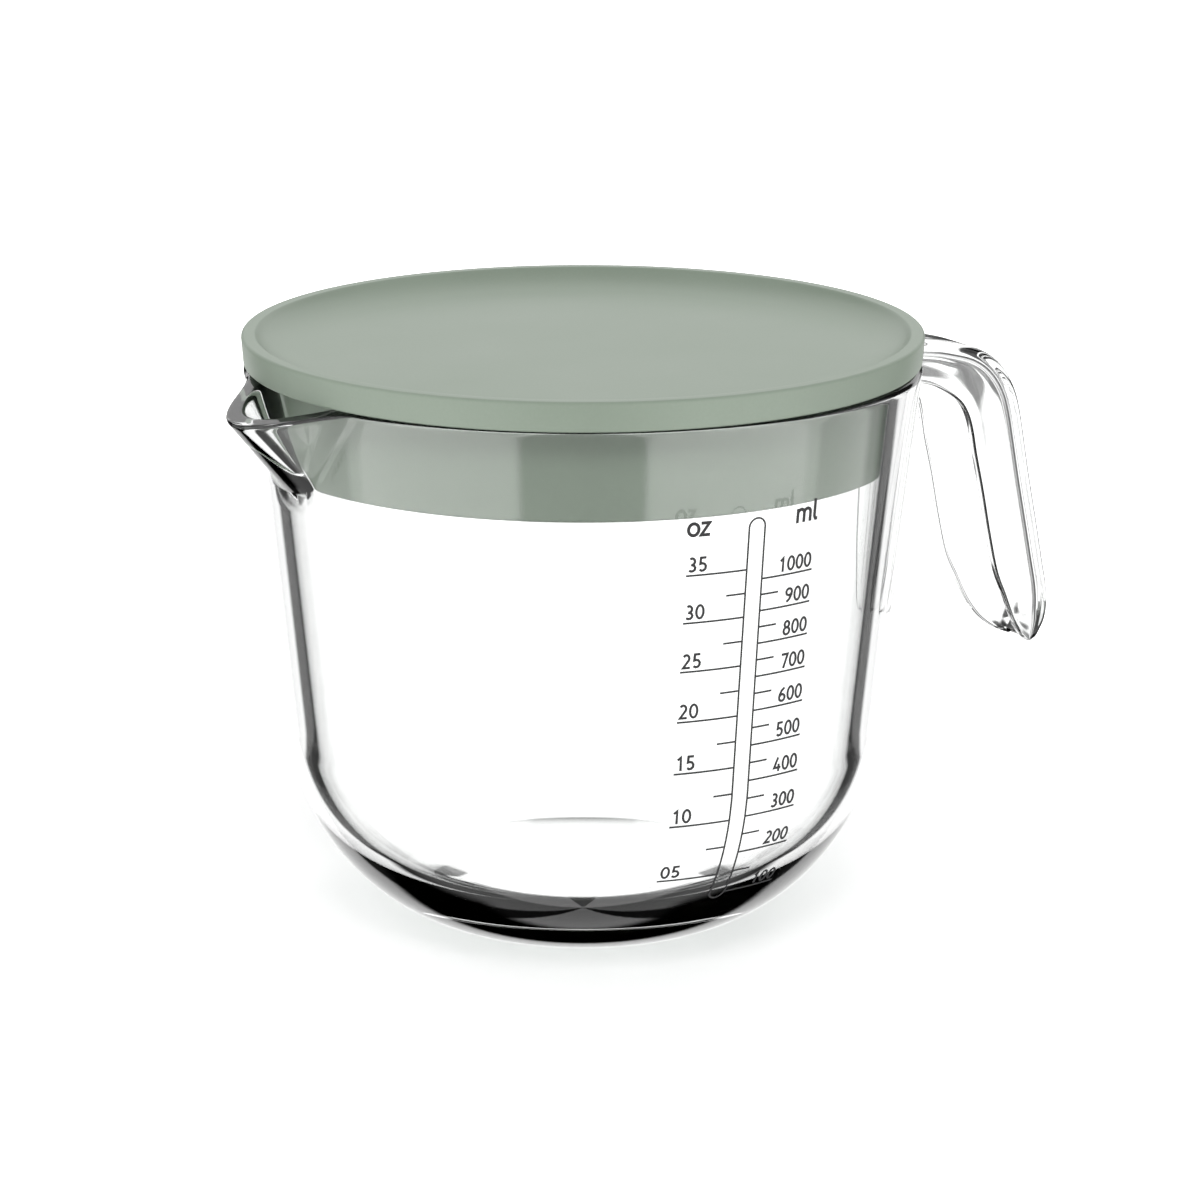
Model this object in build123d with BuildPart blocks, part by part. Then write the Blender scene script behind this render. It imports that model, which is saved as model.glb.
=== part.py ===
"""Clear 1.5 litre measuring and mixing bowl with a spout, a hanging handle,
a printed scale and a push-in lid. Millimetres, origin under the centre of the foot,
+X to the handle, -X to the spout, -Y to the printed scale, +Z up."""

import os
from math import asin, atan, cos, degrees, pi, radians, sin, sqrt, tan

from build123d import *

os.makedirs("parts", exist_ok=True)

# Bowl body
rim_radius = 76.5          # outside, at the rim
rim_height = 130.0
wall = 6.6                 # measured level, at the rim
wall_draft = 5.75          # degrees from upright
floor_thickness = 14.0
outer_corner_rise = 53.0   # vertical half axis of the rounded outside corner
outer_corner_top = 46.9    # where that corner meets the straight wall
inner_corner_rise = 34.0
inner_corner_top = 43.58
rim_edge = 1.2             # rounding of the two rim edges

# Spout
spout_height = 22.0        # from the keel's root up to the rim
spout_slope = 0.737        # reach gained for each mm above the root
spout_half_angle = 20.0
spout_root_share = 0.35    # width at the root, as a share of the width at the rim
spout_wall = 5.2           # lip face, measured along the spout
channel_height = 20.5      # from the channel's root up to the rim
channel_half_angle = 19.0
spout_sink = 0.15          # how far the root starts inside the wall's face
lip_setback = 5.0          # the lip starts to dip this far in from the rim's outside
lip_dip = 0.29             # drop of the lip for each mm further out

# Handle
handle_top_drop = 2.2      # from the rim down to the arm's top, where it leaves the bowl
handle_arm_fall = 0.16     # drop of the arm's top for each mm outward
grip_reach = 50.9          # from the rim out to the grip's face, carried down to its foot
grip_lean = 0.2            # outward lean of the grip for each mm down
handle_bend = 21.0         # outer bend radius between arm and grip
handle_under_bend = 11.5   # the same bend along the side walls' edge
handle_length = 82.0       # from the rim down to the grip's foot
handle_face = 15.0         # width over the outer face
handle_flare = 0.236       # widening of each side for each mm inward
handle_web = 2.6
handle_side = 2.4
handle_edge = 3.2          # rounding of the two outer edges
arm_depth = 9.9            # side walls under the arm, measured down at the rim
grip_depth = 16.6          # side walls along the grip, measured level
handle_foot_round = 10.0
handle_foot_edge = 0.5
arm_bury = 6.0             # the arm's section starts this far inside the wall
tail_round = 18.0
tail_rise = 24.0           # the side walls sweep out to the foot over this height
tail_knee_rise = 9.6       # middle point of that sweep, above the foot
tail_knee_reach = 2.2      # and outward from the side walls' edge

# Lid
lid_overhang = 0.3         # beyond the rim's outside
lid_rise = 7.0             # from the rim up to the top of the raised lip
lid_seat_gap = 0.3         # between the flange and the rim
plug_gap = 0.3             # between the plug and the inside of the wall
plug_depth = 20.6          # below the rim
plug_wall = 2.4
lid_lip_width = 3.2
dish_slope_width = 10.6    # between the flat middle panel and the lip
dish_depth = 4.0
dish_sag = 0.88            # height gained over the first half of that slope
panel_thickness = 2.4
lid_edge = 0.6             # bevel of the lip's outer edge
lid_inner_edge = 0.4
flange_taper = 0.5         # the flange's side leans in by this much
flange_edge = 0.5
plug_edge = 0.8
plug_inner_edge = 0.4

# Printed scale, measured round the wall from the scale's centre line
ink = 0.11                 # stands proud of the wall
ink_seat = 0.025           # the ink's back clears the curved wall by this much
line_weight = 0.42
tube_width = 4.4
tube_head = 14.2           # from the highest mark up to the tube's top
tube_tail = 1.6            # below the lowest mark
tube_window = 11.3         # degrees each side that hold the tube's print
long_reach_ml = 15.9
long_reach_oz = 16.3
short_length = 4.4
numeral_height = 3.4
numeral_lift = 0.75        # from a line up to the foot of its numeral
numeral_pitch = 2.4
ml_numeral_end = 15.7
oz_numeral_start = -16.2
unit_lift = 11.3            # from the highest mark up to the foot of the unit letters
unit_letter_height = 4.5
unit_places = {"o": -15.2, "z": -12.5, "m": 12.5, "l": 16.0}
ml_step = 100
ml_mark_count = 10
oz_step = 5
oz_mark_count = 7
fluid_ounce = 29.5735      # ml
scale_lead = 58.0          # ml that the printed marks read over what the section holds

draft = tan(radians(wall_draft))
spout_root_height = rim_height - spout_height
channel_root_height = rim_height - channel_height
lip_start = rim_radius - lip_setback
handle_top_root = rim_height - handle_top_drop
handle_foot = rim_height - handle_length
grip_foot_reach = rim_radius + grip_reach
lid_radius = rim_radius + lid_overhang
lid_height = rim_height + lid_rise


def corner_ellipse(wall_radius, rise, top, base):
    """Half axis and centre of the ellipse that meets the drafted wall smoothly."""
    centre_z = base + rise
    across = sqrt(1 - ((centre_z - top) / rise) ** 2)
    half_axis = draft * rise * across / ((centre_z - top) / rise)
    tangent_radius = wall_radius - (rim_height - top) * draft
    return half_axis, tangent_radius - half_axis * across, centre_z


outer_axis, foot_radius, outer_centre = corner_ellipse(
    rim_radius, outer_corner_rise, outer_corner_top, 0.0
)
inner_radius = rim_radius - wall
inner_axis, floor_radius, inner_centre = corner_ellipse(
    inner_radius, inner_corner_rise, inner_corner_top, floor_thickness
)


def outside(z):
    """Radius of the bowl's outer face at height z."""
    if z >= outer_corner_top:
        return rim_radius - (rim_height - z) * draft
    return foot_radius + outer_axis * sqrt(1 - ((outer_centre - z) / outer_corner_rise) ** 2)


def inside(z):
    """Radius of the bowl's inner face at height z."""
    if z >= inner_corner_top:
        return inner_radius - (rim_height - z) * draft
    return floor_radius + inner_axis * sqrt(1 - ((inner_centre - z) / inner_corner_rise) ** 2)


def level_of(volume):
    """Height of the liquid surface for a volume in ml."""
    step = 0.02
    z = floor_thickness + step / 2
    held = 0.0
    while held < (volume - scale_lead) * 1000 and z < rim_height:
        held += pi * inside(z) ** 2 * step
        z += step
    return z - step / 2


def nose(base_radius, reach, half_angle, count=13):
    """Plan outline of the spout at one level, a swell on the round wall."""
    points = []
    for i in range(count):
        turn = half_angle * (2 * i / (count - 1) - 1)
        swell = cos(pi * turn / (2 * half_angle)) ** 2
        radius = base_radius + reach * swell
        points.append((-radius * cos(radians(turn)), -radius * sin(radians(turn))))
    return points


def spread(z, root):
    """Share of the spout's full width at height z."""
    share = min(1.0, max(0.0, (z - root) / (rim_height - root)))
    return spout_root_share + (1 - spout_root_share) * share


# ---- bowl ----------------------------------------------------------------
def corner_points(half_axis, centre_r, rise, centre_z, top, count=25):
    """Points along the rounded corner, from the flat bottom up to the wall."""
    last = asin((centre_z - top) / rise)
    points = []
    for i in range(count):
        turn = pi / 2 + (last - pi / 2) * i / (count - 1)
        points.append((centre_r + half_axis * cos(turn), centre_z - rise * sin(turn)))
    return points


outer_corner = corner_points(
    outer_axis, foot_radius, outer_corner_rise, outer_centre, outer_corner_top
)
inner_corner = corner_points(
    inner_axis, floor_radius, inner_corner_rise, inner_centre, inner_corner_top
)
over_rim = 4.0
mouth_height = rim_height + over_rim      # cutters run past the rim to here
mouth_radius = inner_radius + (mouth_height - rim_height) * draft
stations = (0.0, 0.2, 0.45, 0.72, 1.0)
lip_run = 30.0                     # the lip's cutter runs past the tip
spout_reach = spout_slope * (rim_height - spout_root_height)
channel_reach = rim_radius + spout_reach - spout_wall - inner_radius

with BuildPart() as bowl:
    with BuildSketch(Plane.XZ):
        with BuildLine():
            Line((0, 0), outer_corner[0])
            Spline(*outer_corner, tangents=((1, 0), (draft, 1)))
            Polyline(
                outer_corner[-1],
                (rim_radius, rim_height),
                (inner_radius, rim_height),
                inner_corner[-1],
            )
            Spline(*reversed(inner_corner), tangents=((-draft, -1), (-1, 0)))
            Polyline(inner_corner[0], (0, floor_thickness), (0, 0))
        make_face()
        fillet(vertices().group_by(Axis.Y)[-1], radius=rim_edge)
    revolve(axis=Axis.Z)
    for f in stations:
        level = spout_root_height + f * (rim_height - spout_root_height)
        outline = nose(
            outside(level) - spout_sink * (1 - f),
            f * spout_reach,
            spout_half_angle * spread(level, spout_root_height),
        )
        with BuildSketch(Plane.XY.offset(level)):
            with BuildLine():
                Spline(*outline)
                Line(outline[-1], outline[0])
            make_face()
    loft()
    for f in stations:
        level = channel_root_height + f * (mouth_height - channel_root_height)
        outline = nose(
            inner_radius - (rim_height - level) * draft - spout_sink * (1 - f),
            channel_reach * (level - channel_root_height) / channel_height,
            channel_half_angle * spread(level, channel_root_height),
        )
        with BuildSketch(Plane.XY.offset(level)):
            with BuildLine():
                Spline(*outline)
                Polyline(outline[-1], (-rim_radius / 2, 0), outline[0])
            make_face()
    loft(mode=Mode.SUBTRACT)
    with BuildSketch(Plane.XZ):
        Polygon(
            (-lip_start, rim_height),
            (-lip_start, mouth_height),
            (-lip_start - lip_run, mouth_height),
            (-lip_start - lip_run, rim_height - lip_run * lip_dip),
            align=None,
        )
    extrude(amount=rim_radius, both=True, mode=Mode.SUBTRACT)
bowl.part.label = "bowl"
export_step(bowl.part, "parts/bowl.step")

# ---- handle --------------------------------------------------------------
arm_root = rim_radius - arm_bury           # the arm is cut to the wall's face further on
arm_top = handle_top_root + handle_arm_fall * arm_bury
arm_bottom = arm_top - arm_depth
side_reach = grip_depth + 1.4              # how far in the swept section runs
inner_half = handle_face / 2 + side_reach * handle_flare
channel_run = side_reach + 2.0             # the channel's cutter runs past the section
channel_start_half = handle_face / 2 + handle_web * handle_flare - handle_side
channel_end_half = handle_face / 2 + channel_run * handle_flare - handle_side
above = rim_height + 20.0                  # cutters run past the handle to here


def bend_point(root_height, foot_reach):
    """Where the arm's line and the grip's line would cross."""
    height = root_height - handle_arm_fall * (foot_reach + grip_lean * handle_foot - arm_root)
    height = height / (1 - handle_arm_fall * grip_lean)
    return (foot_reach - grip_lean * (height - handle_foot), height)


outer_bend = bend_point(arm_top, grip_foot_reach)
under_foot = grip_foot_reach - grip_depth
under_bend = bend_point(arm_bottom, under_foot)
tail_start = (under_foot - grip_lean * tail_rise, handle_foot + tail_rise)
tail_knee = (under_foot + tail_knee_reach, handle_foot + tail_knee_rise)

with BuildPart() as handle:
    with BuildLine(Plane.XZ) as spine:
        FilletPolyline(
            (arm_root, arm_top),
            outer_bend,
            (grip_foot_reach, handle_foot),
            radius=handle_bend,
        )
    start = Plane(origin=spine.line @ 0, x_dir=(0, -1, 0), z_dir=spine.line % 0)
    with BuildSketch(start):
        Polygon(
            (-handle_face / 2, 0),
            (handle_face / 2, 0),
            (inner_half, side_reach),
            (-inner_half, side_reach),
            align=None,
        )
        face_corners = vertices().group_by(lambda v: round(abs(start.to_local_coords(v).Y), 2))[0]
        fillet(face_corners, radius=handle_edge)
    sweep(path=spine.line)
    with BuildSketch(start):
        Polygon(
            (-channel_start_half, handle_web),
            (channel_start_half, handle_web),
            (channel_end_half, channel_run),
            (-channel_end_half, channel_run),
            align=None,
        )
    sweep(path=spine.line, mode=Mode.SUBTRACT)
    with BuildSketch(Plane.XZ):
        with BuildLine():
            FilletPolyline(
                (grip_foot_reach + side_reach, handle_foot),
                (grip_foot_reach, handle_foot),
                tail_knee,
                tail_start,
                under_bend,
                (arm_root, arm_bottom),
                radius=(handle_foot_edge, tail_round, tail_round, handle_under_bend),
            )
            Polyline(
                (arm_root, arm_bottom),
                (arm_root, above),
                (grip_foot_reach + side_reach, above),
                (grip_foot_reach + side_reach, handle_foot),
            )
        make_face()
    extrude(amount=side_reach, both=True, mode=Mode.INTERSECT)
    with BuildSketch(Plane.YZ):
        with Locations((0, handle_foot)):
            Rectangle(2 * inner_half, rim_height, align=(Align.CENTER, Align.MIN))
        fillet(vertices().group_by(Axis.Y)[0], radius=handle_foot_round)
    extrude(amount=2 * rim_radius, mode=Mode.INTERSECT)
    with BuildSketch(Plane.XZ):
        with BuildLine():
            Line((0, outer_corner[-1][1]), outer_corner[-1])
            Line(outer_corner[-1], (rim_radius, rim_height))
            Polyline((rim_radius, rim_height), (rim_radius, above), (0, above))
            Line((0, above), (0, outer_corner[-1][1]))
        make_face()
    revolve(axis=Axis.Z, mode=Mode.SUBTRACT)
handle.part.label = "handle"
export_step(handle.part, "parts/handle.step")

# ---- lid -----------------------------------------------------------------
seat = rim_height + lid_seat_gap
plug_bottom = rim_height - plug_depth
plug_top_radius = inner_radius - plug_gap
plug_bottom_radius = inside(plug_bottom) - plug_gap
panel_top = lid_height - dish_depth
panel_bottom = panel_top - panel_thickness
lip_inner = lid_radius - lid_lip_width
dish_radius = lip_inner - dish_slope_width
plug_inner_radius = plug_bottom_radius - plug_wall

with BuildPart() as lid:
    with BuildSketch(Plane.XZ):
        with BuildLine():
            dish = Spline(
                (dish_radius, panel_top),
                ((dish_radius + lip_inner) / 2, panel_top + dish_sag),
                (lip_inner, lid_height - lid_inner_edge),
                tangents=((1, 0), (0.45, 1)),
            )
            Polyline(
                dish @ 1,
                (lip_inner + lid_inner_edge, lid_height),
                (lid_radius - lid_edge, lid_height),
                (lid_radius, lid_height - lid_edge),
                (lid_radius - flange_taper, seat + flange_edge),
                (lid_radius - flange_taper - flange_edge, seat),
                (plug_top_radius, seat),
                (plug_bottom_radius, plug_bottom + plug_edge),
                (plug_bottom_radius - plug_edge, plug_bottom),
                (plug_inner_radius + plug_inner_edge, plug_bottom),
                (plug_inner_radius, plug_bottom + plug_inner_edge),
                (plug_top_radius - plug_wall - plug_inner_edge, panel_bottom),
                (0, panel_bottom),
                (0, panel_top),
                dish @ 0,
            )
        make_face()
    revolve(axis=Axis.Z)
lid.part.label = "lid"
export_step(lid.part, "parts/lid.step")

# ---- printed scale -------------------------------------------------------
ml_marks = [level_of(ml_step * (n + 1)) for n in range(ml_mark_count)]
ml_half_marks = [level_of(ml_step * (n + 1.5)) for n in range(ml_mark_count - 1)]
oz_marks = [level_of(fluid_ounce * oz_step * (n + 1)) for n in range(oz_mark_count)]
oz_half_marks = [level_of(fluid_ounce * oz_step * (n + 1.5)) for n in range(oz_mark_count - 1)]
half_tube = tube_width / 2
tube_bottom = ml_marks[0] - tube_tail
tube_top = ml_marks[-1] + tube_head


def lean(z):
    """Angle of the outer face from upright at height z, in degrees."""
    step = 0.2
    return degrees(atan((outside(z + step) - outside(z - step)) / (2 * step)))


def tick(z, start, end):
    """Thin band on the wall at height z, from one arc distance to another."""
    radius = outside(z)
    low = z - line_weight / 2
    high = z + line_weight / 2
    azimuth = radians(-90) + start / radius
    face = Plane(
        origin=(0, 0, 0),
        x_dir=(cos(azimuth), sin(azimuth), 0),
        z_dir=(sin(azimuth), -cos(azimuth), 0),
    )
    with BuildSketch(face) as band:
        Polygon(
            (outside(low) + ink_seat, low),
            (outside(low) + ink, low),
            (outside(high) + ink, high),
            (outside(high) + ink_seat, high),
            align=None,
        )
    revolve(band.sketch, axis=Axis.Z, revolution_arc=degrees((end - start) / radius))


def ribbon(points, weight):
    """Outline of a pen stroke of one weight along a run of points."""
    left = []
    right = []
    for i, (x, y) in enumerate(points):
        before = points[max(i - 1, 0)]
        after = points[min(i + 1, len(points) - 1)]
        first = Vector(x - before[0], y - before[1]) if i else Vector(after[0] - x, after[1] - y)
        second = Vector(after[0] - x, after[1] - y) if i < len(points) - 1 else first
        mean = first.normalized() + second.normalized()
        across = Vector(-mean.Y, mean.X).normalized()
        reach = weight / 2 / max(0.5, mean.length / 2)
        left.append((x + across.X * reach, y + across.Y * reach))
        right.append((x - across.X * reach, y - across.Y * reach))
    return left + right[::-1]


def bow(centre_x, centre_y, half_x, half_y, start, end, count=7):
    """Points along part of an ellipse, angles in degrees."""
    turns = [radians(start + (end - start) * i / (count - 1)) for i in range(count)]
    return [(centre_x + half_x * cos(t), centre_y + half_y * sin(t)) for t in turns]


# Each sign is a set of strokes and rings in a cell one unit high with its foot at 0.
pen = 0.16
signs = {
    "0": ([], [(0, 0.5, 0.24, 0.435)]),
    "1": ([[(-0.16, 0.74), (0.05, 0.92), (0.05, 0)]], []),
    "2": ([bow(-0.01, 0.69, 0.2, 0.245, 150, -25) + [(-0.21, 0.065), (0.25, 0.065)]], []),
    "3": (
        [
            bow(-0.03, 0.715, 0.2, 0.22, 130, -80) + [(-0.08, 0.5)],
            [(-0.08, 0.5)] + bow(-0.03, 0.275, 0.23, 0.21, 80, -140),
        ],
        [],
    ),
    "4": ([[(0.04, 0.97), (-0.25, 0.27), (0.29, 0.27)], [(0.12, 0.52), (0.12, 0)]], []),
    "5": ([[(0.22, 0.935), (-0.14, 0.935), (-0.17, 0.53)] + bow(-0.03, 0.31, 0.24, 0.25, 90, -140)], []),
    "6": ([[(0.17, 0.95), (-0.05, 0.78), (-0.2, 0.5), (-0.225, 0.28)]], [(0, 0.29, 0.225, 0.225)]),
    "7": ([[(-0.25, 0.935), (0.24, 0.935), (-0.06, 0)]], []),
    "8": ([], [(0, 0.725, 0.185, 0.205), (0, 0.275, 0.235, 0.235)]),
    "9": ([[(-0.17, 0.05), (0.05, 0.22), (0.2, 0.5), (0.225, 0.72)]], [(0, 0.71, 0.225, 0.225)]),
    "o": ([], [(0, 0.36, 0.26, 0.295)]),
    "z": ([[(-0.22, 0.66), (0.2, 0.66), (-0.21, 0.065), (0.24, 0.065)]], []),
    "m": (
        [
            [(-0.4, 0), (-0.4, 0.72)],
            [(-0.4, 0.5)] + bow(-0.19, 0.47, 0.2, 0.2, 160, 0) + [(0.01, 0)],
            [(0.01, 0.45)] + bow(0.21, 0.47, 0.2, 0.2, 160, 0) + [(0.41, 0)],
        ],
        [],
    ),
    "l": ([[(-0.08, 1.08), (-0.08, 0.2), (0.0, 0.065), (0.12, 0.065)]], []),
}


def sign(character, z, offset, height):
    """One printed character, its foot at height z, centred an arc distance round."""
    tilt = radians(lean(z + height / 2))
    middle = z + height / 2 * cos(tilt)
    radius = outside(middle)
    azimuth = radians(-90) + offset / radius
    out = Vector(cos(azimuth), sin(azimuth), 0)
    face = Plane(
        origin=out * (radius + ink_seat) + Vector(0, 0, middle),
        x_dir=(-sin(azimuth), cos(azimuth), 0),
        z_dir=out * cos(tilt) - Vector(0, 0, sin(tilt)),
    )
    strokes, rings = signs[character]
    with BuildSketch(face) as print_face:
        for stroke in strokes:
            cell = [(x * height, (y - 0.5) * height) for x, y in ribbon(stroke, pen)]
            Polygon(*cell, align=None)
        for x, y, half_x, half_y in rings:
            with Locations((x * height, (y - 0.5) * height)):
                Ellipse((half_x + pen / 2) * height, (half_y + pen / 2) * height)
                Ellipse((half_x - pen / 2) * height, (half_y - pen / 2) * height, mode=Mode.SUBTRACT)
    extrude(print_face.sketch, amount=ink)


with BuildPart() as scale_tube:
    with BuildSketch(Plane.XZ):
        with Locations((0, (tube_top + tube_bottom) / 2)):
            SlotOverall(tube_top - tube_bottom, tube_width, rotation=90)
            SlotOverall(
                tube_top - tube_bottom - 2 * line_weight,
                tube_width - 2 * line_weight,
                rotation=90,
                mode=Mode.SUBTRACT,
            )
    extrude(amount=rim_radius)
    skin_top = tube_top + tube_width
    window = radians(tube_window)
    edge_plane = Plane(
        origin=(0, 0, 0),
        x_dir=(-sin(window), -cos(window), 0),
        z_dir=(-cos(window), sin(window), 0),
    )
    with BuildSketch(edge_plane):
        with BuildLine():
            back = Spline(*[(r + ink_seat, z) for r, z in outer_corner], tangents=((1, 0), (draft, 1)))
            front = Spline(*[(r + ink, z) for r, z in outer_corner], tangents=((1, 0), (draft, 1)))
            Line(back @ 0, front @ 0)
            Polyline(
                back @ 1,
                (outside(skin_top) + ink_seat, skin_top),
                (outside(skin_top) + ink, skin_top),
                front @ 1,
            )
        make_face()
    revolve(axis=Axis.Z, revolution_arc=2 * tube_window, mode=Mode.INTERSECT)
scale_tube.part.label = "scale_tube"
export_step(scale_tube.part, "parts/scale_tube.step")

with BuildPart() as ml_lines:
    for z in ml_marks:
        tick(z, half_tube, long_reach_ml)
    for z in ml_half_marks:
        tick(z, half_tube, half_tube + short_length)
ml_lines.part.label = "ml_lines"
export_step(ml_lines.part, "parts/ml_lines.step")

with BuildPart() as oz_lines:
    for z in oz_marks:
        tick(z, -long_reach_oz, -half_tube)
    for z in oz_half_marks:
        tick(z, -half_tube - short_length, -half_tube)
oz_lines.part.label = "oz_lines"
export_step(oz_lines.part, "parts/oz_lines.step")

with BuildPart() as ml_numerals:
    for n, z in enumerate(ml_marks, start=1):
        text = str(ml_step * n)
        for i, character in enumerate(text):
            place = ml_numeral_end - numeral_pitch * (len(text) - i - 0.5)
            sign(character, z + numeral_lift, place, numeral_height)
ml_numerals.part.label = "ml_numerals"
export_step(ml_numerals.part, "parts/ml_numerals.step")

with BuildPart() as oz_numerals:
    for n, z in enumerate(oz_marks, start=1):
        for i, character in enumerate("%02d" % (oz_step * n)):
            place = oz_numeral_start + numeral_pitch * (i + 0.5)
            sign(character, z + numeral_lift, place, numeral_height)
oz_numerals.part.label = "oz_numerals"
export_step(oz_numerals.part, "parts/oz_numerals.step")

with BuildPart() as unit_labels:
    for character, place in unit_places.items():
        sign(character, ml_marks[-1] + unit_lift, place, unit_letter_height)
unit_labels.part.label = "unit_labels"
export_step(unit_labels.part, "parts/unit_labels.step")

pieces = (bowl, handle, lid, scale_tube, ml_lines, oz_lines, ml_numerals, oz_numerals, unit_labels)
for piece in pieces:
    print(piece.part.label, round(piece.part.volume, 2), piece.part.is_valid, len(piece.part.solids()))
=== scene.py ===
from math import atan2, cos, pi, radians, sin, sqrt, tan

import bmesh
import bpy
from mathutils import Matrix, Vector


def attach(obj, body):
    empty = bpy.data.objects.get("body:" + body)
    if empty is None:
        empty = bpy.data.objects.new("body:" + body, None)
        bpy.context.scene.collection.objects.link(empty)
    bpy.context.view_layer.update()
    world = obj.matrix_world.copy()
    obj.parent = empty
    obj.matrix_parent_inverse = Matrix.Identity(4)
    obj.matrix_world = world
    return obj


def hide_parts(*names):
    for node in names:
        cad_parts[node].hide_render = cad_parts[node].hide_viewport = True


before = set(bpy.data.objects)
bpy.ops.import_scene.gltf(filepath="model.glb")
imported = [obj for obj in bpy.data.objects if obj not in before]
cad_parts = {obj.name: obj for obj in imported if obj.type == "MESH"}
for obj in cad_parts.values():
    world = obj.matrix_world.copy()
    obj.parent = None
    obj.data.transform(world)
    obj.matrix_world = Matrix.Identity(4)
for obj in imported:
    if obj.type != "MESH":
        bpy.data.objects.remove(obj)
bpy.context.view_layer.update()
scene = bpy.context.scene
mm = 0.001  # every dictionary below is in millimetres and degrees
weld = 0.004 * mm  # vertices closer than this become one


# Mesh helpers
def newPiece(name, bm, sharpAngle=32):  # a bmesh becomes a finished, smooth-shaded object
    bmesh.ops.remove_doubles(bm, verts=bm.verts, dist=weld)
    bmesh.ops.recalc_face_normals(bm, faces=bm.faces)
    mesh = bpy.data.meshes.new(name)
    bm.to_mesh(mesh)
    bm.free()
    piece = bpy.data.objects.new(name, mesh)
    scene.collection.objects.link(piece)
    shadeByAngle(mesh, sharpAngle)
    return piece


def shadeByAngle(mesh, sharpAngle):
    bm = bmesh.new()
    bm.from_mesh(mesh)
    for face in bm.faces:
        face.smooth = True
    for edge in bm.edges:
        edge.smooth = edge.calc_face_angle(0) < radians(sharpAngle)
    bm.to_mesh(mesh)
    bm.free()


def drawLine(bm, points):  # a run of edges in the XZ plane, grown one vertex at a time
    tip = bmesh.ops.create_vert(bm, co=(points[0][0] * mm, 0, points[0][1] * mm))["vert"][0]
    edges = []
    for x, z in points[1:]:
        grown = bmesh.ops.extrude_vert_indiv(bm, verts=[tip])
        tip = grown["verts"][0]
        tip.co = (x * mm, 0, z * mm)
        edges += grown["edges"]
    return edges


def spinLine(bm, points, steps):  # a closed round body from half its section
    edges = drawLine(bm, points)
    corners = list({v for edge in edges for v in edge.verts})
    bmesh.ops.spin(bm, geom=edges + corners, cent=(0, 0, 0), axis=(0, 0, 1),
                   angle=2 * pi, steps=steps, use_merge=True)


def arc(x, z, halfX, halfZ, start, end, steps):  # points along part of an ellipse
    turns = [radians(start + (end - start) * i / steps) for i in range(steps + 1)]
    return [(x + halfX * cos(t), z + halfZ * sin(t)) for t in turns]


def run(start, end, steps):  # evenly spaced points after start, up to end
    return [(start[0] + (end[0] - start[0]) * i / steps, start[1] + (end[1] - start[1]) * i / steps)
            for i in range(1, steps + 1)]


# Camera: on the scale's side, the spout to the left and the handle to the right
cameraSettings = {"azimuth": -30.2, "elevation": 15.0, "target": (0, 0, 68.5), "distance": 1142.5,
                  "lens": 150, "sensor": 36, "shiftX": 17 / 1200, "shiftY": 23 / 1200}


def addCamera(s):
    a, e = radians(s["azimuth"]), radians(s["elevation"])
    back = Vector((sin(a) * cos(e), -cos(a) * cos(e), sin(e)))
    data = bpy.data.cameras.new("studioCamera")
    camera = bpy.data.objects.new("studioCamera", data)
    scene.collection.objects.link(camera)
    camera.location = (Vector(s["target"]) + back * s["distance"]) * mm
    camera.rotation_euler = back.to_track_quat("Z", "Y").to_euler()
    data.lens, data.sensor_width = s["lens"], s["sensor"]
    data.shift_x, data.shift_y = s["shiftX"], s["shiftY"]
    data.clip_start, data.clip_end = 0.01, 30
    scene.camera = camera


addCamera(cameraSettings)
print("camera ready")


# Node helpers
def addNode(tree, kind, values=None, **props):
    node = tree.nodes.new(kind)
    for key, value in props.items():
        setattr(node, key, value)
    for key, value in (values or {}).items():
        if isinstance(value, bpy.types.NodeSocket):
            tree.links.new(value, node.inputs[key])
        else:
            node.inputs[key].default_value = value
    return node


def calc(tree, operation, *values):
    node = addNode(tree, "ShaderNodeMath", dict(enumerate(values)), operation=operation)
    return node.outputs[0]


def fade(tree, value, low, high, fromValue=0.0, toValue=1.0):  # smooth change from low to high
    limits = {"Value": value, "From Min": low, "From Max": high, "To Min": fromValue, "To Max": toValue}
    node = addNode(tree, "ShaderNodeMapRange", limits, interpolation_type="SMOOTHSTEP")
    return node.outputs[0]


# Studio: pale floor with a painted glow away from the bowl, and a white tent with two narrow black flags,
# soft boxes, a black band low down as painted shade under the bowl and, behind the bowl, a dark strip at
# the horizon. Turns count both ways from the camera's look direction.
studio = {
    "floorSize": 9000, "floorColour": (0.93, 0.93, 0.93), "ambient": 0.55,
    "backLevel": 1.3, "backHalf": (32.5, 36.5), "flagLevel": 0.04, "flagEnd": (53, 60),
    "sideLevel": 0.95, "gapLevel": 0.6,
    "softBoxStart": (88, 93), "softBoxEnd": (155, 159), "softBoxLevel": 2.3,
    # painted shade: a black band low down, seen only through the glass and in reflections, stands in for
    # the shaded floor under the bowl
    "paintedShadeTop": (-46, -41), "paintedShadeEnd": (-72, -66), "paintedShadeSpread": (55, 75), "paintedShadeLevel": 0.0,
    "ceiling": (38, 60), "ceilingLevel": 1.0,
    "skylineStart": (-11.5, -9.5), "skylineEnd": (4, 9), "skylineHalf": (20, 25), "skylineLevel": 0.03,
    "paintedFloorGlow": (80, 320),  # painted light: the floor's glow starts and is full at these distances, so it reads white away from the bowl
    "lights": [  # place, aimed-at point, size, watts
        ((-420, -760, 900), (0, 0, 80), 420, 8.0),
        ((900, 300, 760), (0, 0, 80), 560, 4.0),
        ((-560, 780, 820), (0, 0, 100), 560, 3.0),
    ],
}


def band(tree, height, low, high, turn, half):  # 1 between two heights, out to a turn on both sides
    across = calc(tree, "MULTIPLY", fade(tree, height, *low), fade(tree, height, *high, 1, 0))
    return calc(tree, "MULTIPLY", across, fade(tree, turn, *half, 1, 0))


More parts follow.
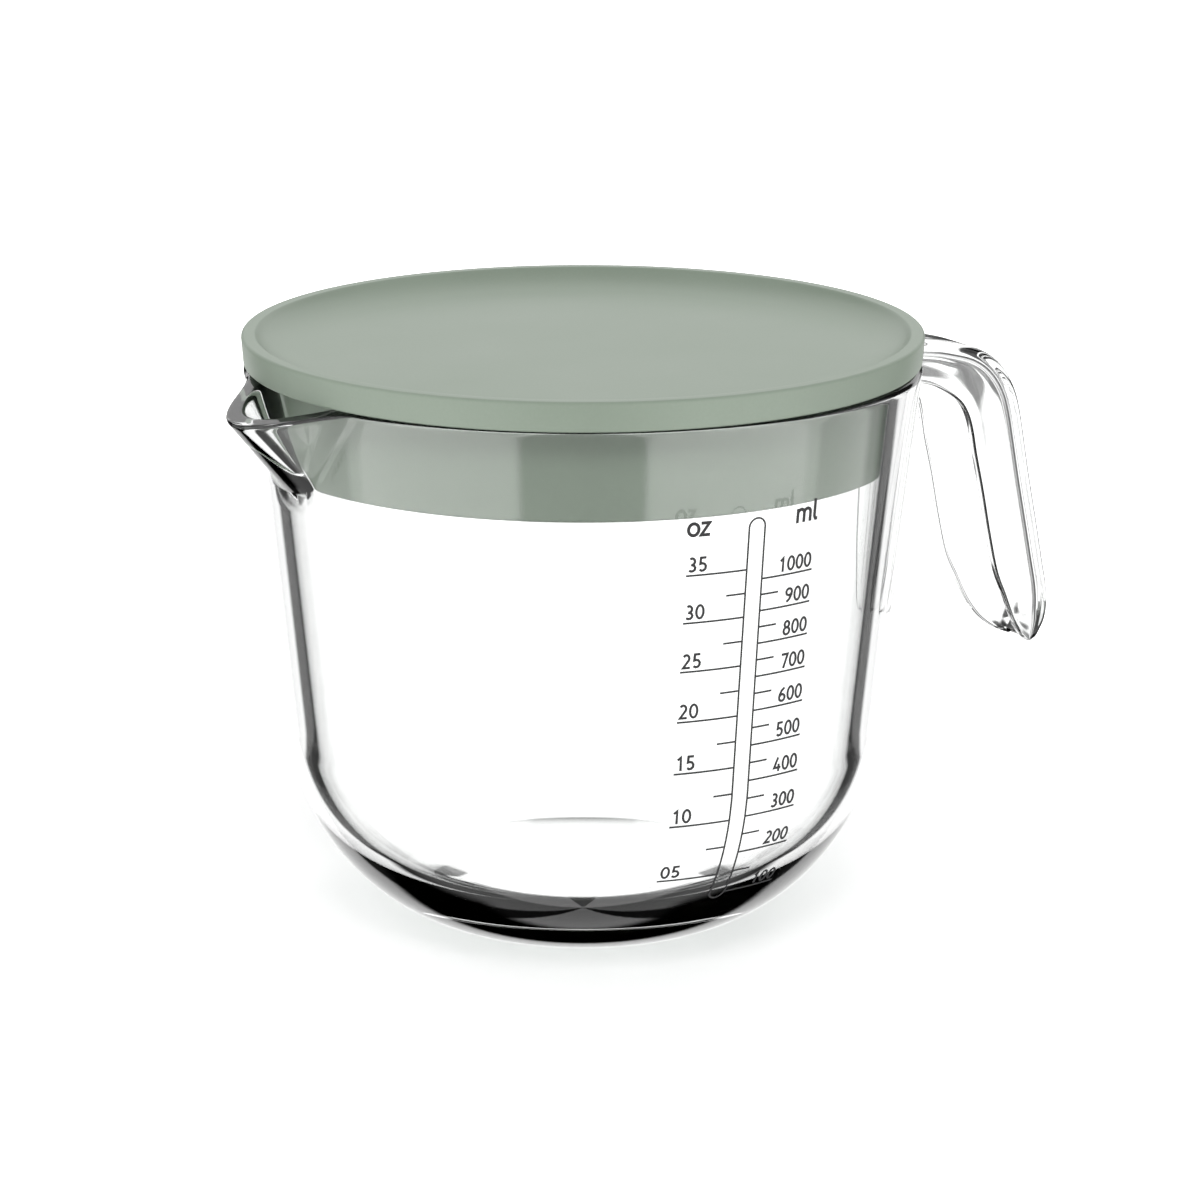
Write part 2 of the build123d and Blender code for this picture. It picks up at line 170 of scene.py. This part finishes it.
def darken(tree, level, mask, darkLevel):
    return calc(tree, "MULTIPLY", level,
                calc(tree, "SUBTRACT", 1.0, calc(tree, "MULTIPLY", mask, 1 - darkLevel)))


def glow(tree, strength):
    return addNode(tree, "ShaderNodeBackground", {"Color": (1, 1, 1, 1), "Strength": strength}).outputs[0]


def mixShaders(tree, share, first, second):
    return addNode(tree, "ShaderNodeMixShader", {0: share, 1: first, 2: second}).outputs[0]


def addWorld(s):
    world = bpy.data.worlds.new("studioTent")
    world.use_nodes = True
    tree = world.node_tree
    tree.nodes.clear()
    direction = addNode(tree, "ShaderNodeTexCoord").outputs["Generated"]
    a = radians(cameraSettings["azimuth"])
    across = addNode(tree, "ShaderNodeVectorMath", {0: direction, 1: (cos(a), sin(a), 0)},
                     operation="DOT_PRODUCT").outputs["Value"]
    along = addNode(tree, "ShaderNodeVectorMath", {0: direction, 1: (-sin(a), cos(a), 0)},
                    operation="DOT_PRODUCT").outputs["Value"]
    up = addNode(tree, "ShaderNodeSeparateXYZ", {0: direction}).outputs["Z"]
    toDegrees = 180 / pi
    turn = calc(tree, "MULTIPLY", calc(tree, "ABSOLUTE", calc(tree, "ARCTAN2", across, along)), toDegrees)
    height = calc(tree, "MULTIPLY", calc(tree, "ARCSINE", up), toDegrees)

    level = fade(tree, turn, *s["backHalf"], s["backLevel"], s["flagLevel"])
    changes = {
        "flagEnd": s["sideLevel"] - s["flagLevel"],
        "softBoxStart": s["softBoxLevel"] - s["sideLevel"],
        "softBoxEnd": s["gapLevel"] - s["softBoxLevel"],
    }
    for span, change in changes.items():
        level = calc(tree, "ADD", level, fade(tree, turn, *s[span], 0, change))
    roof = fade(tree, height, *s["ceiling"])
    level = calc(tree, "ADD", calc(tree, "MULTIPLY", level, calc(tree, "SUBTRACT", 1.0, roof)),
                 calc(tree, "MULTIPLY", roof, s["ceilingLevel"]))
    # painted shade: the tent goes black in a band below the horizon, standing in for the shade under the
    # bowl
    paintedShadeBand = band(tree, height, s["paintedShadeEnd"], s["paintedShadeTop"], turn, s["paintedShadeSpread"])
    level = darken(tree, level, paintedShadeBand, s["paintedShadeLevel"])
    skyline = band(tree, height, s["skylineStart"], s["skylineEnd"], turn, s["skylineHalf"])
    level = darken(tree, level, skyline, s["skylineLevel"])

    path = addNode(tree, "ShaderNodeLightPath")
    seen = mixShaders(tree, path.outputs["Is Diffuse Ray"], glow(tree, level), glow(tree, s["ambient"]))
    seen = mixShaders(tree, path.outputs["Is Camera Ray"], seen, glow(tree, 1.0))
    out = addNode(tree, "ShaderNodeOutputWorld")
    tree.links.new(seen, out.inputs["Surface"])
    scene.world = world


def addFloor(s):
    bm = bmesh.new()
    bmesh.ops.create_grid(bm, x_segments=2, y_segments=2, size=s["floorSize"] / 2 * mm)
    floor = newPiece("studioFloor", bm)
    paper = bpy.data.materials.new("palePaperPaintedGlow")
    paper.use_nodes = True
    tree = paper.node_tree
    shader = tree.nodes["Principled BSDF"]
    shader.inputs["Base Color"].default_value = (*s["floorColour"], 1)
    shader.inputs["Roughness"].default_value = 0.9
    shader.inputs["Specular IOR Level"].default_value = 0.0
    place = addNode(tree, "ShaderNodeTexCoord").outputs["Object"]
    reach = addNode(tree, "ShaderNodeVectorMath", {0: place}, operation="LENGTH").outputs["Value"]
    # painted light: the floor glows white, more with distance from the bowl and not at all close to it
    shader.inputs["Emission Color"].default_value = (1, 1, 1, 1)
    low, high = s["paintedFloorGlow"]
    tree.links.new(fade(tree, reach, low * mm, high * mm), shader.inputs["Emission Strength"])
    floor.data.materials.append(paper)
    floor.visible_glossy = False
    floor.visible_transmission = False


def addLights(s):
    for i, (place, aim, size, watts) in enumerate(s["lights"]):
        data = bpy.data.lights.new("softBox%d" % (i + 1), "AREA")
        data.shape, data.size, data.energy = "DISK", size * mm, watts
        lamp = bpy.data.objects.new(data.name, data)
        scene.collection.objects.link(lamp)
        lamp.location = Vector(place) * mm
        lamp.rotation_euler = (Vector(place) - Vector(aim)).to_track_quat("Z", "Y").to_euler()
        lamp.visible_glossy = False
        lamp.visible_transmission = False


addWorld(studio)
addFloor(studio)
addLights(studio)
scene.view_settings.view_transform = "Standard"
print("studio ready")

# Clear bowl: a round moulding, swelled into the spout, with the handle joined on
bowl = {
    "steps": 384, "rimRadius": 76.5, "rimHeight": 130.0, "wall": 6.6, "draft": 5.75,
    "rimEdge": 1.2, "floor": 14.0, "sharpAngle": 34,
    "outerCorner": {"x": 22.1, "z": 53.0, "halfX": 46.36, "halfZ": 53.0, "top": 46.9},
    "innerCorner": {"x": 35.307, "z": 48.0, "halfX": 26.112, "halfZ": 34.0, "top": 43.58},
    "spoutRoot": 108.0, "spoutSlope": 0.737, "spoutHalf": 20.0, "rootShare": 0.35,
    "channelRoot": 109.5, "channelReach": 17.62, "channelHalf": 19.0,
    "lipStart": 71.5, "lipDip": 0.29,
}
slope = tan(radians(bowl["draft"]))


def wallRadius(z, inner=False):
    return bowl["rimRadius"] - (bowl["wall"] if inner else 0) - (bowl["rimHeight"] - z) * slope


def cornerArc(corner, steps):  # from the flat bottom up to the drafted wall
    last = sqrt(1 - ((corner["z"] - corner["top"]) / corner["halfZ"]) ** 2)
    end = -radians(90) + atan2(last, (corner["z"] - corner["top"]) / corner["halfZ"])
    return arc(corner["x"], corner["z"], corner["halfX"], corner["halfZ"], -90, end * 180 / pi, steps)


def bowlSection(s):
    e, top = s["rimEdge"], s["rimHeight"]
    outerTop = (wallRadius(top - e), top - e)
    innerTop = (wallRadius(top - e, True), top - e)
    points = [(0, 0), (8, 0), (16, 0)] + cornerArc(s["outerCorner"], 46)
    points += run(points[-1], (wallRadius(s["spoutRoot"]), s["spoutRoot"]), 14)
    points += run(points[-1], outerTop, 22)
    points += arc(outerTop[0] - e, top - e, e, e, 0, 90, 5)[1:]
    points += run(points[-1], (innerTop[0] + e, top), 5)
    points += arc(innerTop[0] + e, top - e, e, e, 90, 180, 5)[1:]
    points += run(points[-1], (wallRadius(s["channelRoot"], True), s["channelRoot"]), 21)
    inner = cornerArc(s["innerCorner"], 42)
    points += run(points[-1], inner[-1], 14)
    points += inner[::-1][1:]
    points += [(18, s["floor"]), (9, s["floor"]), (0, s["floor"])]
    return points


def swell(turn, half, z, root, top):  # how much of the spout's reach a point gets
    share = min(1.0, max(0.0, (z - root) / (top - root)))
    width = half * (bowl["rootShare"] + (1 - bowl["rootShare"]) * share)
    return cos(pi * turn / (2 * width)) ** 2 if abs(turn) < width else 0.0


def pullSpout(bm, s):
    top, root = s["rimHeight"], s["spoutRoot"]
    for v in bm.verts:
        x, y, z = v.co / mm
        turn = atan2(y, -x) * 180 / pi
        if z < root or abs(turn) > s["spoutHalf"]:
            continue
        radius = sqrt(x * x + y * y)
        inward = (wallRadius(z) - radius) / s["wall"]
        level = z
        for i in range(8):  # the lip's dip and the reach depend on each other
            spread = swell(turn, s["spoutHalf"], level, root, top)
            outer = wallRadius(level) + s["spoutSlope"] * (level - root) * spread
            channel = s["channelReach"] * max(0, level - s["channelRoot"]) / (top - s["channelRoot"])
            spread = swell(turn, s["channelHalf"], level, s["channelRoot"], top)
            inner = wallRadius(level, True) + channel * spread
            radius = outer + (inner - outer) * inward
            dip = s["lipDip"] * max(0, radius * cos(radians(turn)) - s["lipStart"])
            level = z - dip * (z - root) / (top - root)
        v.co = (-radius * cos(radians(turn)) * mm, radius * sin(radians(turn)) * mm, level * mm)


bm = bmesh.new()
spinLine(bm, bowlSection(bowl), bowl["steps"])
pullSpout(bm, bowl)
clearBowl = newPiece("clearBowl", bm, bowl["sharpAngle"])
print("bowl spun", len(clearBowl.data.vertices))

# Handle: a channel open towards the bowl, its section carried along the grip
handle = {
    "faceHalf": 7.5, "flare": 0.236, "web": 2.6, "side": 2.4, "edge": 3.2, "lipEdge": 0.7, "inner": 4.6,
    "stations": 110, "edgeShare": 0.48, "webShare": 0.6, "lipShare": 0.2,  # most of the depth each may take
    # outer face, inner edge of the side walls, share of the full width
    "run": [
        ((71.5, 128.7), (71.5, 117.8), 1.0), ((78.0, 128.0), (77.0, 117.7), 1.0),
        ((86.0, 126.6), (82.5, 117.4), 1.0), ((95.0, 125.2), (88.0, 116.3), 1.0),
        ((101.0, 123.7), (91.4, 114.7), 1.0), ((105.6, 121.9), (93.9, 113.1), 1.0),
        ((109.4, 119.3), (95.8, 111.4), 1.0), ((112.4, 115.9), (97.2, 109.2), 1.0),
        ((114.7, 111.7), (98.2, 106.6), 1.0), ((116.2, 106.6), (99.0, 103.4), 1.0),
        ((117.6, 99.5), (99.9, 98.6), 1.0), ((119.4, 90.0), (102.0, 89.8), 1.0),
        ((121.7, 79.0), (104.3, 78.8), 1.0), ((123.7, 69.0), (106.6, 69.6), 1.0),
        ((124.9, 63.0), (109.3, 63.6), 1.0), ((125.3, 58.5), (111.9, 58.0), 1.0),
        ((124.9, 55.0), (114.4, 54.0), 0.98), ((124.0, 52.4), (116.9, 51.3), 0.93),
        ((123.0, 50.6), (119.3, 49.7), 0.84), ((122.3, 49.6), (120.9, 49.1), 0.72),
    ],
}


def channelSection(s, depth, share):  # half the section, from the face's middle round to the web's middle
    def half(b):
        return (s["faceHalf"] + s["flare"] * b) * share
    edge = min(s["edge"], s["edgeShare"] * depth)
    web = min(s["web"], s["webShare"] * depth)
    lip = min(s["lipEdge"], s["lipShare"] * depth)
    inner = min(s["inner"], 0.5 * max(0.0, depth - web - lip))
    side = s["side"]
    points = [(0, 0), ((half(edge) - edge) * 0.5, 0)]
    points += arc(half(edge) - edge, edge, edge, edge, -90, -8, 7)
    points += run(points[-1], (half(depth - lip), depth - lip), 4)
    points += arc(half(depth) - lip, depth - lip, lip, lip, 0, 90, 4)[1:]
    points += [(half(depth) - side + lip, depth)]
    points += arc(half(depth) - side + lip, depth - lip, lip, lip, 90, 180, 4)[1:]
    points += run(points[-1], (half(web + inner) - side, web + inner), 3)
    points += arc(half(web + inner) - side - inner, web + inner, inner, inner, 0, -90, 5)[1:]
    points += [((half(web + inner) - side - inner) * 0.5, web), (0, web)]
    return points


def smoothAt(rows, t):  # Catmull-Rom value along a list of equally long rows
    i = min(int(t), len(rows) - 2)
    u = t - i
    p = [rows[min(max(i + k, 0), len(rows) - 1)] for k in (-1, 0, 1, 2)]
    square, cube = u * u, u ** 3
    return [b + 0.5 * ((c - a) * u + (2 * a - 5 * b + 4 * c - d) * square + (3 * b - a - 3 * c + d) * cube)
            for a, b, c, d in zip(*p)]


bm = bmesh.new()
rows = [(*outer, *inner, share) for outer, inner, share in handle["run"]]
halfCount = len(channelSection(handle, 10, 1))
ringCount = 2 * (halfCount - 1)
bmesh.ops.create_grid(bm, x_segments=ringCount, y_segments=handle["stations"], size=1)
for v in bm.verts:
    i = round((v.co.x + 1) / 2 * ringCount) % ringCount
    j = round((v.co.y + 1) / 2 * handle["stations"])
    ox, oz, ix, iz, share = smoothAt(rows, j / handle["stations"] * (len(rows) - 1))
    depth = sqrt((ix - ox) ** 2 + (iz - oz) ** 2)
    section = channelSection(handle, depth, share)
    a, b = section[i] if i < halfCount else section[ringCount - i]
    a = a if i < halfCount else -a
    v.co = ((ox + (ix - ox) * b / depth) * mm, a * mm, (oz + (iz - oz) * b / depth) * mm)
bmesh.ops.remove_doubles(bm, verts=bm.verts, dist=weld)
bmesh.ops.holes_fill(bm, edges=[e for e in bm.edges if e.is_boundary], sides=0)
grip = newPiece("grip", bm)

join = clearBowl.modifiers.new("joinHandle", "BOOLEAN")
join.operation, join.solver, join.object = "UNION", "EXACT", grip
bpy.context.view_layer.update()
joined = bpy.data.meshes.new_from_object(clearBowl.evaluated_get(bpy.context.evaluated_depsgraph_get()))
clearBowl.modifiers.clear()
clearBowl.data = joined
joined.name = "clearBowl"
bpy.data.objects.remove(grip)
shadeByAngle(joined, bowl["sharpAngle"])
print("handle joined", len(joined.vertices))

# Lid
lid = {
    "steps": 320, "sharpAngle": 40,
    "panel": [  # the dished top, from the axis out to the raised edge
        (0, 133.0), (30, 133.0), (56, 133.0), (60.5, 133.0), (63.0, 133.1), (65.5, 133.35), (68.0, 133.8),
        (70.2, 134.55), (71.8, 135.4), (72.9, 136.2), (73.35, 136.65),
    ],
    "edge": [  # roundings of the edge: centre, half sizes, start, end, steps
        (74.0, 136.4, 0.6, 0.6, 130, 90, 3), (76.0, 136.2, 0.8, 0.8, 90, 0, 6),
        (75.75, 130.95, 0.65, 0.65, -5, -90, 5),
    ],
    "plugTop": [(72.5, 130.3), (70.1, 130.3), (69.65, 130.0), (67.65, 110.25)],
    "plugFoot": [(66.9, 110.2, 0.75, 0.8, 0, -90, 4), (65.75, 109.9, 0.5, 0.5, -90, -180, 4)],
    "hollow": [(67.05, 129.8), (66.6, 130.5), (65.8, 130.6), (30, 130.6), (0, 130.6)],
}


def lidSection(s):
    points = list(s["panel"])
    for rounding in s["edge"]:
        points += arc(*rounding)
    points += s["plugTop"]
    for rounding in s["plugFoot"]:
        points += arc(*rounding)
    return points + s["hollow"]


bm = bmesh.new()
spinLine(bm, lidSection(lid), lid["steps"])
pushLid = newPiece("pushLid", bm, lid["sharpAngle"])
print("lid spun", len(pushLid.data.vertices))


# Materials
def newMaterial(name):
    material = bpy.data.materials.new(name)
    material.use_nodes = True
    tree = material.node_tree
    return material, tree, tree.nodes["Principled BSDF"]


def newGroup(name, inputs, outputs):
    group = bpy.data.node_groups.new(name, "ShaderNodeTree")
    for socketName, kind, value in inputs:
        socket = group.interface.new_socket(socketName, in_out="INPUT", socket_type=kind)
        if value is not None:
            socket.default_value = value
    for socketName, kind in outputs:
        group.interface.new_socket(socketName, in_out="OUTPUT", socket_type=kind)
    return group, group.nodes.new("NodeGroupInput"), group.nodes.new("NodeGroupOutput")


def mouldGrain():  # fine grain over slow drift, for colour, roughness and relief
    group, given, out = newGroup(
        "mouldGrain",
        [("Grain Scale", "NodeSocketFloat", 900.0), ("Drift Scale", "NodeSocketFloat", 14.0),
         ("Light", "NodeSocketColor", None), ("Dark", "NodeSocketColor", None),
         ("Roughness Low", "NodeSocketFloat", 0.4), ("Roughness High", "NodeSocketFloat", 0.6)],
        [("Color", "NodeSocketColor"), ("Roughness", "NodeSocketFloat"), ("Height", "NodeSocketFloat")],
    )
    place = addNode(group, "ShaderNodeTexCoord").outputs["Object"]
    fine = addNode(group, "ShaderNodeTexNoise", {"Vector": place, "Scale": given.outputs["Grain Scale"],
                                                 "Detail": 2.0, "Roughness": 0.6}).outputs[0]
    slow = addNode(group, "ShaderNodeTexNoise", {"Vector": place, "Scale": given.outputs["Drift Scale"],
                                                 "Detail": 3.0, "Roughness": 0.5}).outputs[0]
    blend = calc(group, "ADD", calc(group, "MULTIPLY", slow, 0.7), calc(group, "MULTIPLY", fine, 0.3))
    tint = addNode(group, "ShaderNodeMix", {0: fade(group, blend, 0.35, 0.65)}, data_type="RGBA")
    group.links.new(given.outputs["Dark"], tint.inputs[6])
    group.links.new(given.outputs["Light"], tint.inputs[7])
    rough = addNode(group, "ShaderNodeMapRange", {"Value": blend, "From Min": 0.3, "From Max": 0.7,
                                                  "To Min": given.outputs["Roughness Low"],
                                                  "To Max": given.outputs["Roughness High"]}).outputs[0]
    group.links.new(tint.outputs[2], out.inputs["Color"])
    group.links.new(rough, out.inputs["Roughness"])
    group.links.new(fine, out.inputs["Height"])
    return group


grainGroup = mouldGrain()


def useGrain(tree, shader, values, strength, distance):
    grain = addNode(tree, "ShaderNodeGroup", node_tree=grainGroup)
    for key, value in values.items():
        grain.inputs[key].default_value = value
    bump = addNode(tree, "ShaderNodeBump", {"Strength": strength, "Distance": distance * mm,
                                            "Height": grain.outputs["Height"]})
    tree.links.new(grain.outputs["Color"], shader.inputs["Base Color"])
    tree.links.new(grain.outputs["Roughness"], shader.inputs["Roughness"])
    tree.links.new(bump.outputs[0], shader.inputs["Normal"])


clearPlastic = {
    "ior": 1.5, "strength": 0.04, "distance": 0.05, "shadowTint": (0.86, 0.87, 0.865, 1),
    "grain": {"Grain Scale": 60.0, "Drift Scale": 9.0, "Light": (0.985, 0.988, 0.986, 1),
              "Dark": (0.965, 0.973, 0.968, 1),
              "Roughness Low": 0.0, "Roughness High": 0.02},
}
sagePlastic = {
    "strength": 0.25, "distance": 0.03,
    "grain": {"Grain Scale": 1600.0, "Drift Scale": 22.0, "Light": (0.168, 0.206, 0.163, 1),
              "Dark": (0.154, 0.19, 0.149, 1), "Roughness Low": 0.36, "Roughness High": 0.46},
}
blackInk = {
    "strength": 0.2, "distance": 0.01,
    "grain": {"Grain Scale": 2500.0, "Drift Scale": 60.0, "Light": (0.010, 0.010, 0.011, 1),
              "Dark": (0.005, 0.005, 0.006, 1), "Roughness Low": 0.6, "Roughness High": 0.75},
}


def makeClear(s):
    material, tree, shader = newMaterial("clearPolished")
    useGrain(tree, shader, s["grain"], s["strength"], s["distance"])
    shader.inputs["Transmission Weight"].default_value = 1.0
    shader.inputs["IOR"].default_value = s["ior"]
    path = addNode(tree, "ShaderNodeLightPath")
    through = addNode(tree, "ShaderNodeBsdfTransparent", {"Color": s["shadowTint"]})
    surface = mixShaders(tree, path.outputs["Is Shadow Ray"], shader.outputs[0], through.outputs[0])
    tree.links.new(surface, tree.nodes["Material Output"].inputs["Surface"])
    return material


def makeSolid(name, s):
    material, tree, shader = newMaterial(name)
    useGrain(tree, shader, s["grain"], s["strength"], s["distance"])
    return material


clearBowl.data.materials.clear()
clearBowl.data.materials.append(makeClear(clearPlastic))
pushLid.data.materials.append(makeSolid("sageMatt", sagePlastic))
inkMaterial = makeSolid("printInk", blackInk)
inkNodes = ["scale_tube", "ml_lines", "oz_lines", "ml_numerals", "oz_numerals", "unit_labels"]
for name in inkNodes:
    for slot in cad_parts[name].material_slots:
        slot.material = inkMaterial
print("materials ready")

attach(clearBowl, "bowl")
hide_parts("bowl", "handle")
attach(pushLid, "lid")
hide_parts("lid")
